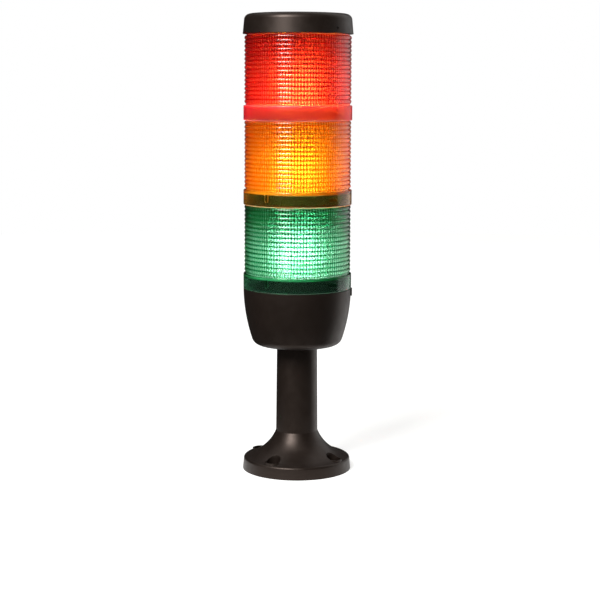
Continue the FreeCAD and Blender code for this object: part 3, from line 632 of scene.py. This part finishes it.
class RingMesh:
    """A closed ring-shaped mesh built from rows of cells round the upright axis.

    Neighbouring rows share their points, so the ring is one watertight skin.
    """

    def __init__(self, bearings: Sequence[float]) -> None:
        """Start an empty ring.

        Args:
            bearings: where the columns of cells begin, in rising order.
        """
        self.bearings = list(bearings)
        self.mesh = bmesh.new()
        self.known: dict[tuple[int, int, int], Corner] = {}

    def quad(self, corners: Sequence[tuple[float, int, float]]) -> None:
        """Add a face, and leave out corners that fall together.

        Args:
            corners: (radius, column, height) of each corner in turn, the height above the
                collar's rim.
        """
        found: list[Corner] = []
        for radius, column, height in corners:
            column %= len(self.bearings)
            key = (round(radius * WELD), column, round(height * WELD))
            if key not in self.known:
                place = on_ring(radius, self.bearings[column], height)
                self.known[key] = self.mesh.verts.new(place)
            if self.known[key] not in found:
                found.append(self.known[key])
        if len(found) > 2 and self.mesh.faces.get(found) is None:
            self.mesh.faces.new(found)

    def strip(self, column: int, first: Point, last: Point) -> None:
        """Add a column's face from one (radius, height) point to another.

        Args:
            column: number of the column.
            first: the point of the edge where the face begins.
            last: the point of the edge where it ends.
        """
        (r0, z0), (r1, z1) = first, last
        after = column + 1
        self.quad([(r0, column, z0), (r0, after, z0), (r1, after, z1), (r1, column, z1)])

    def turned(self, outline: Sequence[Point]) -> None:
        """Carry an outline round the axis.

        Args:
            outline: its (radius, height) points.
        """
        for first, last in zip(outline, outline[1:]):
            for column in range(len(self.bearings)):
                self.strip(column, first, last)

    def fluted(self, radii: Sequence[float], plain: float, low: float, high: float) -> None:
        """A wall whose radius changes from column to column, between two plain edges.

        Args:
            radii: radius at each bearing.
            plain: radius of the plain edges.
            low: height of the lower plain edge.
            high: height of the upper plain edge.
        """
        foot, head = low + FLUTE_RUN_OUT, high - FLUTE_RUN_OUT
        for column, here in enumerate(radii):
            after = column + 1
            there = radii[after % len(radii)]
            rows = [(plain, plain, low), (here, there, foot), (here, there, head)]
            rows.append((plain, plain, high))
            for (a, b, z0), (c, d, z1) in zip(rows, rows[1:]):
                self.quad([(a, column, z0), (b, after, z0), (d, after, z1), (c, column, z1)])

    def stepped(
        self, levels: Sequence[float], plain: Sequence[float], changes: Sequence[Change]
    ) -> None:
        """A wall of rows of cells whose radii change in places, with the steps between them.

        Args:
            levels: heights of the rows' edges, from the bottom up.
            plain: radius of the ring below, of each row where nothing changes it, and of the
                ring above.
            changes: rows, bearing, span round it and radius of what does, the later the stronger.
        """
        count = len(self.bearings)
        rows = [[radius] * count for radius in plain]
        following = self.bearings[1:] + [self.bearings[0] + FULL_TURN]
        for column, (start, end) in enumerate(zip(self.bearings, following)):
            for numbers, bearing, span, radius in changes:
                if within((start + end) / 2, bearing, span):
                    for number in numbers:
                        rows[number][column] = radius
        for low, high, row in zip(levels, levels[1:], rows[1:]):
            for column, r in enumerate(row):
                self.strip(column, (r, low), (r, high))
                after = column + 1
                beside = row[after % count]
                if r != beside:
                    side = [(r, low), (beside, low), (beside, high), (r, high)]
                    self.quad([(radius, after, height) for radius, height in side])
        for level, under, over in zip(levels, rows, rows[1:]):
            for column, (inner, outer) in enumerate(zip(under, over)):
                if inner != outer:
                    self.strip(column, (inner, level), (outer, level))

    def made(self, name: str, lift: float, angle: float) -> Piece:
        """Finish the mesh.

        Args:
            name: name of the piece.
            lift: height of the ring's zero, in millimetres.
            angle: edges that turn by more degrees than this stay sharp.

        Returns:
            The new object.
        """
        bmesh.ops.recalc_face_normals(self.mesh, faces=self.mesh.faces[:])
        piece = new_piece(name, self.mesh, lift)
        smooth(piece.data, angle)
        return piece


# ---- foot, housing and cap


@dataclass
class Base:
    """The foot with its pole, and the terminal housing with what is inside."""

    shop: Workshop

    def build(self) -> None:
        """Dress the base's CAD nodes."""
        shop = self.shop
        shop.dress(shop.black, "mounting_foot", "base_housing", "pole_nut")
        shop.dress(shop.white, "contact_plate")
        shop.dress(shop.grey, "terminal_block")
        shop.dress(shop.steel, "plate_screws", "terminal_screws")
        shop.dress(shop.brass, "base_contact_pads")
        shop.dress(shop.rubber, "base_seal")


@dataclass
class Cap:
    """The cap on the highest module."""

    shop: Workshop

    def build(self) -> None:
        """Dress the cap's CAD node."""
        self.shop.dress(self.shop.black, "top_cap")


# ---- the lens modules


@dataclass
class LensForm:
    """Sizes of a lens in millimetres and degrees, with zero at the rim of its collar."""

    collar: float = 35.0
    collar_bore: float = 33.3
    collar_height: float = 9.5
    web: float = 7.6
    edge: float = 0.35
    edge_cut: float = 0.3  # share of the edge that its middle point stands in
    valley: float = 33.55
    rib_depth: float = 0.85
    rib_pitch: float = 2.7
    rib_count: int = 16
    rib_steps: int = 6
    ribs_base: float = 10.65
    bore: float = 31.6
    neck: float = 33.0
    neck_bore: float = 30.6
    neck_levels: tuple[float, ...] = (0.4, 1.7, 2.6, 3.3, 5.7, 7.1)  # over the next rim
    groove: float = 31.85
    slot: float = 31.9
    notch_wall: float = 32.0
    slope: float = 1.6
    pitch: float = 54.25
    flutes: int = 108
    flute_depth: float = 0.45
    flute_steps: int = 6
    flute_gap: float = 0.1
    carrier_top: float = 9.4
    lug_bearing: float = 41.7
    lug_sweep: float = 10.0
    lug_foot: float = 3.6
    lug_head: float = 5.4
    lug_depth: float = 1.1
    lug_margin: float = 0.2
    slot_play: float = 1.6
    twist: float = 18.0
    key_bearing: float = -35.7
    key_half: float = 2.0
    key_depth: float = 1.0
    key_margin: float = 0.5
    notch_play: float = 1.0
    column_gap: float = 0.3
    crease: float = 40.0
    slack: float = 0.1
    skin: float = 0.05
    bead_frost: float = 0.5
    rib_frost: float = 0.04
    # cusp, crest and crest_fall shape the painted shade in the grooves between ribs and between
    # beads
    cusp: float = 0.85
    crest: float = 0.13  # clear part of a rib or bead, from its middle, as a share of its pitch
    crest_fall: float = 0.26
    # dusk_from and dusk_most: where the painted darkening toward the top begins, and its strongest
    # share
    dusk_from: float = 0.4
    dusk_most: float = 0.95

    def bearings(self) -> list[float]:
        """The bearings of the columns, with the edges of the lugs, slots and keys among them.

        Returns:
            Bearings from 0 to 360 in rising order.
        """
        edges: list[float] = []
        for _, bearing, span, _ in self.neck_changes() + self.bore_changes():
            edges += [bearing + side for side in span]
        edges = sorted({round(edge % FULL_TURN, 4) for edge in edges})
        count = self.flutes * self.flute_steps
        plain = [index * FULL_TURN / count for index in range(count)]
        gap = (-self.column_gap, self.column_gap)
        kept = [angle for angle in plain if not any(within(angle, edge, gap) for edge in edges)]
        return sorted(kept + edges)

    def lug_bearings(self) -> list[float]:
        """The bearing of each lug's middle."""
        return [self.lug_bearing + turn for turn in (0.0, 120.0, 240.0)]

    def key_rows(self) -> dict[float, float]:
        """Half the angle of the key by the height where a row of it begins."""
        return {2.9: 0.9, 3.15: 1.5, 3.5: self.key_half}

    def outer_outline(self) -> list[Point]:
        """The collar's outside and the ribs above it.

        Returns:
            (radius, height) points from the collar's rim up.
        """
        r, e, h = self.collar, self.edge, self.collar_height
        cut = e * self.edge_cut
        points = [(r - e, 0.0), (r - cut, cut), (r, e)]
        points += [(r, h - e), (r - cut, h - cut), (r - e, h), (self.valley, h)]
        half, depth = self.rib_pitch / 2, self.rib_depth
        bend = (half * half / depth + depth) / 2
        sweep = math.asin(half / bend)
        for rib in range(self.rib_count):
            middle = self.ribs_base + self.rib_pitch * (rib + 0.5)
            for step in range(self.rib_steps):
                angle = -sweep + 2 * sweep * step / self.rib_steps
                out = self.valley + depth - bend + bend * math.cos(angle)
                points.append((out, middle + bend * math.sin(angle)))
        points.append((self.valley, self.ribs_top()))
        return points

    def ribs_top(self) -> float:
        """Height of the highest rib's upper edge."""
        return self.ribs_base + self.rib_count * self.rib_pitch

    def in_bore(
        self, middle: Vector, bearings: Sequence[float], half: float, deepest: float
    ) -> bool:
        """Whether a face stands off the collar's bore near one of some bearings.

        Args:
            middle: the face's middle in millimetres.
            bearings: the bearings.
            half: how far the face may lie from them, in degrees.
            deepest: how far in it may lie, in millimetres.

        Returns:
            True for a face of what stands there.
        """
        bearing, radius = polar(middle)
        near = any(within(bearing, place, (-half, half)) for place in bearings)
        return near and self.slack < self.collar_bore - radius < deepest

    def frosting(self, middle: Vector, finish: TierFinish) -> float:
        """How frosted a face is.

        Args:
            middle: the face's middle in millimetres.
            finish: the finish of the lens's tier.

        Returns:
            Zero for a clear face and one for one that scatters all light.
        """
        radius = polar(middle)[1]
        half, deepest = self.key_half + self.key_margin, self.key_depth - self.slack
        key = middle.z < self.web and self.in_bore(middle, [self.key_bearing], half, deepest)
        if key or (middle.z < self.edge and radius > self.collar - self.edge):
            return finish.edge_frost
        if self.web < middle.z < self.ribs_top() and radius < self.bore + self.skin:
            return self.bead_frost
        ribbed = self.ribs_base < middle.z < self.ribs_top()
        return self.rib_frost if ribbed else finish.collar_frost

    def furrow_shade(self, middle: Vector, dusk: float) -> float:
        """How much painted shade a face gets in a groove between two ribs or two beads, or on a
        lug.

        Args:
            middle: the face's middle in millimetres.
            dusk: how much painted shade darkens the lens toward its top.

        Returns:
            Zero on a crest and one for the fullest painted shade, at the bottom of a groove or on
            a lug.
        """
        height = (middle.z - self.ribs_base) / (self.ribs_top() - self.ribs_base)
        # painted shadow: the lugs inside the collar take full painted shade, a dark slot
        if self.lug_foot - self.slack < middle.z < self.lug_head + self.slack:
            half, deepest = self.lug_sweep / 2 + self.lug_margin, self.lug_depth + self.slack
            return float(self.in_bore(middle, self.lug_bearings(), half, deepest))
        if not 0.0 < height < 1.0:
            return 0.0
        bearing, radius = polar(middle)
        if radius > self.valley - self.skin:
            across = (middle.z - self.ribs_base) / self.rib_pitch % 1.0
            # painted shade that darkens the upper rows, away from the light sources
            rise = max(0.0, (height - self.dusk_from) / (1.0 - self.dusk_from))
            dusk = min(self.dusk_most, dusk * rise)
        elif radius < self.bore + self.skin:
            across = 0.5 + self.cusp * (bearing * self.flutes / FULL_TURN % 1.0 - 0.5)
            dusk = 0.0
        else:
            return 0.0
        # painted shade: none on a crest, full at the bottom of a groove, stronger toward the top
        depth = min(1.0, max(0.0, (abs(across - 0.5) - self.crest) / self.crest_fall))
        return 1.0 - (1.0 - depth) * (1.0 - dusk)

    def mark_surfaces(self, mesh: bpy.types.Mesh, finish: TierFinish) -> None:
        """Write on every face how frosted it is and how much painted shade darkens it.

        Args:
            mesh: the lens's mesh.
            finish: the finish of the lens's tier.
        """
        middles = [face.center / MM for face in mesh.polygons]
        low, high = self.ribs_base, self.ribs_top()
        frost = [self.frosting(middle, finish) for middle in middles]
        # painted shade on the skin outside the ribbed band
        shade = [0.0 if low < middle.z < high else 1.0 for middle in middles]
        # painted shade in the grooves, toward the top and on the lugs
        furrow_shade = [self.furrow_shade(middle, finish.dusk) for middle in middles]
        for name, values in zip(MARKS, (frost, shade, furrow_shade)):
            mesh.attributes.new(name, "FLOAT", "FACE").data.foreach_set("value", values)

    def flute_radii(self, bearings: Sequence[float]) -> list[float]:
        """Inner radius at each bearing, where rounded beads run down the bore.

        Args:
            bearings: the bearings of the columns.

        Returns:
            A radius for each of them.
        """
        pitch = 2 * math.pi * self.bore / self.flutes
        bend = (pitch * pitch / 4 / self.flute_depth + self.flute_depth) / 2
        radii = []
        for bearing in bearings:
            across = ((bearing * self.flutes / FULL_TURN) % 1.0 - 0.5) * pitch
            rise = math.sqrt(bend * bend - across * across) - (bend - self.flute_depth)
            radii.append(self.bore - rise)
        return radii

    def neck_changes(self) -> list[Change]:
        """What differs on the neck: the key's notch and the lugs' slots.

        Returns:
            The changes to its rows of cells, counted from one.
        """
        key, lug = self.key_half + self.notch_play, (self.lug_sweep + self.slot_play) / 2
        run, entry = (-lug, self.twist + lug), (self.twist - lug, self.twist + lug)
        changes: list[Change] = [
            ((4, 5, 6), self.key_bearing, (-key, self.twist + key), self.notch_wall)
        ]
        for bearing in self.lug_bearings():
            changes += [((5,), bearing, run, self.slot), ((6,), bearing, entry, self.slot)]
        return changes

    def bore_changes(self) -> list[Change]:
        """What differs in the collar's bore: the index key and the lugs.

        Returns:
            The changes to its rows of cells, counted from one.
        """
        key, lug = self.collar_bore - self.key_depth, self.collar_bore - self.lug_depth
        halves = [*self.key_rows().values(), self.key_half, self.key_half]
        changes = [((row + 2,), self.key_bearing, (-w, w), key) for row, w in enumerate(halves)]
        span = (-self.lug_sweep / 2, self.lug_sweep / 2)
        return changes + [((5,), bearing, span, lug) for bearing in self.lug_bearings()]

    def piece(self, name: str, lift: float) -> Piece:
        """Build the whole lens.

        Args:
            name: name of the piece.
            lift: height of the collar's rim in millimetres.

        Returns:
            The lens.
        """
        bearings = self.bearings()
        ring = RingMesh(bearings)
        ring.turned(self.outer_outline())
        levels = [self.ribs_top(), *(self.pitch + rise for rise in self.neck_levels)]
        plain = [self.valley, self.neck, self.groove, *[self.neck] * 4, self.neck_bore]
        ring.stepped(levels, plain, self.neck_changes())
        low, high = self.carrier_top + self.flute_gap, self.ribs_top() - self.slope
        bore = [(self.neck_bore, levels[-1]), (self.neck_bore, self.ribs_top()), (self.bore, high)]
        ring.turned(bore)
        ring.fluted(self.flute_radii(bearings), self.bore, low, high)
        ring.turned([(self.bore, low), (self.bore, self.web)])
        levels = [0.0, *self.key_rows(), self.lug_foot, self.lug_head, self.web]
        plain = [self.collar - self.edge, *[self.collar_bore] * 6, self.bore]
        ring.stepped(levels, plain, self.bore_changes())
        return ring.made(name, lift, self.crease)


@dataclass
class SourceForm:
    """Sizes of the light sources in millimetres, standing on their board."""

    side: float = 5.0
    height: float = 1.6
    bevel: float = 0.25
    squareness: int = 8
    window: float = 1.95
    lip: float = 0.15
    dish: float = 0.35
    bulge: float = 0.12
    bulge_share: float = 0.5
    window_level: int = 4
    columns: int = 3
    rows: int = 4
    column_pitch: float = 11.0
    row_pitch: float = 5.8
    first: float = 14.2
    board: float = 0.8
    round_steps: int = 20
    crease: float = 50.0

    def middle(self) -> float:
        """Height of the middle of all the rows."""
        return self.first + (self.rows - 1) / 2 * self.row_pitch

    def loop(self, half: float, height: float, power: int = 2) -> list[Vector]:
        """The points of a circle or of a square with rounded corners.

        Args:
            half: the circle's radius or half of the square's side.
            height: distance from the board.
            power: two for a circle, and more for squarer corners.

        Returns:
            Points in turn, with the last axis away from the board.
        """
        points = []
        for step in range(self.round_steps):
            turn = 2 * math.pi * (step + 0.5) / self.round_steps
            across, up = math.cos(turn), math.sin(turn)
            reach = half / (abs(across) ** power + abs(up) ** power) ** (1 / power)
            points.append(Vector((across * reach, up * reach, height)))
        return points

    def add_source(self, mesh: Mesh, place: Matrix) -> None:
        """Add a package with a dished round window to a mesh.

        Args:
            mesh: the mesh that takes it.
            place: where it stands.
        """
        half, top = self.side / 2, self.height
        loops = [
            self.loop(half, 0.0, self.squareness),
            self.loop(half, top - self.bevel, self.squareness),
            self.loop(half - self.bevel, top, self.squareness),
            self.loop(self.window, top),
            self.loop(self.window - self.lip, top - self.dish),
            self.loop(self.window * self.bulge_share, top - self.dish + self.bulge),
        ]
        rings = [[mesh.verts.new(place @ (point * MM)) for point in loop] for loop in loops]
        count = self.round_steps
        for level, (ring, upper) in enumerate(zip(rings, rings[1:])):
            for index in range(count):
                after = (index + 1) % count
                face = mesh.faces.new([ring[index], ring[after], upper[after], upper[index]])
                face.material_index = int(level >= self.window_level)
                face.smooth = True
        mesh.faces.new(rings[-1]).material_index = 1
        mesh.faces.new(rings[0][::-1])

    def piece(self, name: str, lift: float) -> Piece:
        """Build all the light sources of a module.

        Args:
            name: name of the piece.
            lift: height of the module's collar rim in millimetres.

        Returns:
            The light sources as one piece.
        """
        mesh = bmesh.new()
        stand = Matrix.Rotation(math.pi / 2, 4, "X")
        for facing in (0.0, math.pi):
            turn = Matrix.Rotation(facing, 4, "Z")
            for column in range(self.columns):
                for row in range(self.rows):
                    across = (column - (self.columns - 1) / 2) * self.column_pitch
                    up = self.first + row * self.row_pitch
                    shift = Matrix.Translation(Vector((across, -self.board, up)) * MM)
                    self.add_source(mesh, turn @ shift @ stand)
        piece = new_piece(name, mesh, lift)
        piece.data.set_sharp_from_angle(angle=math.radians(self.crease))
        return piece


@dataclass
class LensModule:
    """One lit module: lens, carrier, board, light sources, contacts and seal."""

    tier: Tier
    shop: Workshop
    lens: LensForm
    sources: SourceForm

    def build(self) -> None:
        """Build the lens and the light sources, and dress the rest."""
        colour, shop = self.tier.value, self.shop
        finish = TIER_FINISHES[self.tier]
        body = f"{colour}_module"
        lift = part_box(f"{colour}_lens")[0].z / MM

        lens = self.lens.piece(f"{colour}_ribbed_lens", lift)
        clear = f"{colour}_lens_plastic"
        # the last two colours are painted shade: on the collar and neck, and in the grooves
        plastic = ClearPlastic(clear, finish.lens, finish.collar, finish.furrow_shade)
        lens.data.materials.append(plastic.material())
        self.lens.mark_surfaces(lens.data, finish)
        self.put(lens, body, f"{colour}_lens")

        lights = self.sources.piece(f"{colour}_light_packages", lift)
        lights.data.materials.append(shop.white)
        middle = self.sources.middle() + finish.rise
        glow = Phosphor(f"{colour}_light", finish.light, finish.strength, middle)
        lights.data.materials.append(glow.material())
        self.put(lights, body, f"{colour}_light_sources")

        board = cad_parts[f"{colour}_light_board"]
        middle = lift + self.sources.middle() + finish.rise - board.location.z / MM
        # the laminate's painted glow is centred on the brightest place of the sources
        laminate = BoardLaminate(f"{colour}_board_laminate_painted_glow", finish.light, finish.glow, middle)
        shop.dress(laminate.material(), board.name)
        shop.dress(shop.white, f"{colour}_carrier", f"{colour}_contact_head")
        shop.dress(shop.brass, f"{colour}_contact_pads", f"{colour}_contact_pins")
        shop.dress(shop.rubber, f"{colour}_seal")

    def put(self, piece: Piece, body: str, node: str) -> None:
        """Let a piece ride on its body in place of a CAD node.

        Args:
            piece: the new piece.
            body: the body that carries it.
            node: the CAD node that it stands for.
        """
        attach(piece, body)
        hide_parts(node)
        LOG.info("%s: %d faces, for %s", piece.name, len(piece.data.polygons), node)


# ---- studio and camera


@dataclass
class Studio:
    """A pale floor and a white surround, dark cloth round the object, and a soft lamp.

    Its lengths are metres.
    """

    floor_radius: float = 1.6
    floor_step: int = 5
    floor_tone: float = 0.42
    floor_glow: float = 0.64
    surround: float = 0.7
    apron_radius: float = 0.085
    apron_lift: float = 0.0005
    flag_radius: float = 2.4
    flag_height: float = 2.6
    roof_back: float = 0.3
    flag_from: float = -210.0
    flag_to: float = 96.0
    flag_panels: int = 48
    lamp_power: float = 38.0
    lamp_bearing: float = -32.0
    lamp_rise: float = 38.0
    lamp_distance: float = 1.5
    lamp_size: tuple[float, float] = (0.62, 0.6)
    lamp_aim: float = 0.15

    def build(self) -> None:
        """Build the floor, the dark cloth, the surround and the lamp."""
        self.add_floor()
        self.add_flags()
        self.add_surround()
        self.add_lamp()

    def add_floor(self) -> None:
        """A pale round floor under the object, which keeps its shadow."""
        steps = range(0, int(FULL_TURN), self.floor_step)
        rim = [on_ring(self.floor_radius / MM, bearing, 0.0) for bearing in steps]
        mesh = bmesh.new()
        mesh.faces.new([mesh.verts.new(point) for point in rim])
        floor = new_piece("studio_floor", mesh)
        made, graph = new_material("studio_floor")
        cloud = graph.spread(graph.noise(400.0, 2.0), 0.0, 1.0)
        tone = graph.blend(cloud, (self.floor_tone,) * 3, (self.floor_tone * 1.05,) * 3)
        diffuse = graph.add("BsdfDiffuse", {"Color": tone}).outputs[0]
        glow = graph.ramp(graph.seen_directly(), 0.0, 1.0, 0.0, self.floor_glow)
        light = graph.add("Emission", {"Color": (1.0, 0.995, 0.98, 1.0), "Strength": glow})
        both = graph.add("AddShader", {0: diffuse, 1: light.outputs[0]})
        graph.finish(both.outputs[0])
        floor.data.materials.append(made)

    def add_flags(self) -> None:
        """Dark cloth on the ground, round the object and over the camera, for gloss to mirror."""
        reach, back = self.flag_radius, self.roof_back
        corners = [(-reach, back), (reach, back), (reach, -reach), (-reach, -reach)]
        roof = bmesh.new()
        roof.faces.new([roof.verts.new((x, y, self.flag_height)) for x, y in corners])
        cloths = {
            "studio_apron": self.ring(self.apron_radius, self.apron_lift),
            "studio_flag": self.ring(self.flag_radius, self.flag_height),
            "studio_roof": roof,
        }
        for name, mesh in cloths.items():
            flag = new_piece(name, mesh)
            made, graph = new_material("studio_flag")
            cloth = graph.blend(graph.noise(3.0), (0.02, 0.02, 0.02), (0.03, 0.03, 0.03))
            graph.finish(graph.add("BsdfDiffuse", {"Color": cloth}).outputs[0])
            flag.data.materials.append(made)
            for ray in ("camera", "diffuse", "transmission", "shadow"):
                setattr(flag, f"visible_{ray}", False)

    def ring(self, radius: float, height: float) -> Mesh:
        """A strip round the object from the foot of the flags to a radius and a height.

        Args:
            radius: radius of the other edge in metres.
            height: height of the other edge in metres.

        Returns:
            The strip's mesh.
        """
        mesh = bmesh.new()
        columns = []
        for index in range(self.flag_panels + 1):
            share = index / self.flag_panels
            bearing = self.flag_from + (self.flag_to - self.flag_from) * share
            foot = mesh.verts.new(on_ring(self.flag_radius / MM, bearing, self.apron_lift / MM))
            far = mesh.verts.new(on_ring(radius / MM, bearing, height / MM))
            columns.append((foot, far))
        for (a, b), (c, d) in zip(columns, columns[1:]):
            mesh.faces.new([a, c, d, b])
        return mesh

    def add_surround(self) -> None:
        """The white surround, plainly lit for every other kind of ray."""
        world = bpy.data.worlds.new("studio")
        graph = ShaderGraph(world)
        strength = graph.ramp(graph.seen_directly(), 0.0, 1.0, self.surround, 1.0)
        light = graph.add("Background", {"Color": (*WHITE, 1.0), "Strength": strength})
        graph.finish(light.outputs[0], "World")
        bpy.context.scene.world = world

    def add_lamp(self) -> None:
        """A softbox that points at the middle of the object."""
        data = bpy.data.lights.new("key", "AREA")
        data.shape = "RECTANGLE"
        data.size, data.size_y = self.lamp_size
        data.energy = self.lamp_power
        lamp = bpy.data.objects.new("key", data)
        level = math.cos(math.radians(self.lamp_rise)) * self.lamp_distance / MM
        up = math.sin(math.radians(self.lamp_rise)) * self.lamp_distance / MM
        middle = Vector((0.0, 0.0, self.lamp_aim))
        lamp.location = on_ring(level, self.lamp_bearing, up) + middle
        aim = middle - lamp.location
        lamp.rotation_euler = aim.to_track_quat("-Z", "Y").to_euler()
        lamp.visible_camera = False
        bpy.context.scene.collection.objects.link(lamp)


@dataclass
class Viewpoint:
    """The camera's place and lens, in millimetres and degrees."""

    distance: float = 957.3
    side: float = 1.7
    height: float = 249.7
    pitch: float = 6.11
    roll: float = 0.22
    focal: float = 88.86
    sensor: float = 36.0
    shift: float = -0.0917
    nearest: float = 0.01  # in metres

    def build(self) -> None:
        """Create the camera and make it the scene's."""
        data = bpy.data.cameras.new("camera")
        data.lens = self.focal
        data.sensor_width = self.sensor
        data.shift_y = self.shift
        data.clip_start = self.nearest
        camera = bpy.data.objects.new("camera", data)
        tilt = Matrix.Rotation(math.radians(90.0 - self.pitch), 4, "X")
        lean = Matrix.Rotation(math.radians(self.roll), 4, "Z")
        camera.rotation_euler = (tilt @ lean).to_euler()
        camera.location = Vector((self.side, -self.distance, self.height)) * MM
        bpy.context.scene.collection.objects.link(camera)
        bpy.context.scene.camera = camera


def main() -> None:
    """Build the stack light from the foot up, then the studio and the camera."""
    logging.basicConfig(level=logging.INFO, format="%(message)s")
    shop = Workshop()
    Base(shop).build()
    for tier in Tier:
        LensModule(tier, shop, LensForm(), SourceForm()).build()
    Cap(shop).build()
    Studio().build()
    Viewpoint().build()
    bpy.context.scene.view_settings.view_transform = "Standard"


if __name__ == "__main__":
    main()
